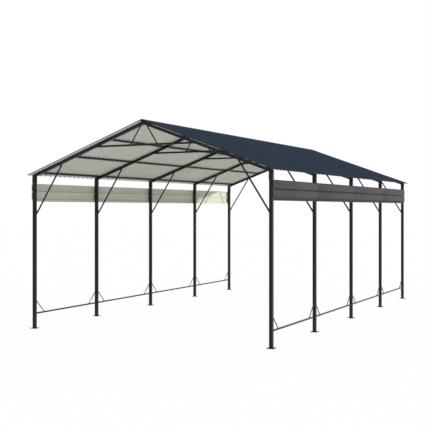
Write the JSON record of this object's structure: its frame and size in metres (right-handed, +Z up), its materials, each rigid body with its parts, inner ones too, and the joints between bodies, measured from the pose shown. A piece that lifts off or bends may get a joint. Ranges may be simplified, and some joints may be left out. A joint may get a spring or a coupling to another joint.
{
  "type": "open gable carport",
  "caption": "Open-sided gable carport of square steel tube frames with knee braces, under a ribbed sheet roof, with short ribbed side panels and low rails.",
  "frame": {"origin": "centre of the ground plan, on the level of the base plates' undersides", "axes": "+X to the right seen from the front, +Y from the front to the back along the ridge, +Z up"},
  "size_m": [3.725, 6.1612, 2.8007],
  "materials": {
    "frame_paint": "satin",
    "roof_sheet": "satin",
    "panel_sheet": "satin"
  },
  "bodies": {
    "root": {"left_posts": "frame_paint", "right_posts": "frame_paint", "left_base_plates": "frame_paint", "right_base_plates": "frame_paint", "left_eave_sleeves": "frame_paint", "right_eave_sleeves": "frame_paint", "left_rafters": "frame_paint", "right_rafters": "frame_paint", "left_knee_braces": "frame_paint", "right_knee_braces": "frame_paint", "collar_ties": "frame_paint", "left_apex_struts": "frame_paint", "right_apex_struts": "frame_paint", "left_upper_purlins": "frame_paint", "left_middle_purlins": "frame_paint", "left_eave_purlins": "frame_paint", "right_upper_purlins": "frame_paint", "right_middle_purlins": "frame_paint", "right_eave_purlins": "frame_paint", "ridge_purlins": "frame_paint", "left_low_rails": "frame_paint", "right_low_rails": "frame_paint", "left_rail_braces": "frame_paint", "right_rail_braces": "frame_paint", "left_side_panels": "panel_sheet", "right_side_panels": "panel_sheet", "ridge_cap": "roof_sheet", "left_roof_sheet_1": "roof_sheet", "left_roof_sheet_2": "roof_sheet", "left_roof_sheet_3": "roof_sheet", "left_roof_sheet_4": "roof_sheet", "left_roof_sheet_5": "roof_sheet", "left_roof_sheet_6": "roof_sheet", "left_roof_sheet_7": "roof_sheet", "right_roof_sheet_1": "roof_sheet", "right_roof_sheet_2": "roof_sheet", "right_roof_sheet_3": "roof_sheet", "right_roof_sheet_4": "roof_sheet", "right_roof_sheet_5": "roof_sheet", "right_roof_sheet_6": "roof_sheet", "right_roof_sheet_7": "roof_sheet"}
  },
  "joints": []
}
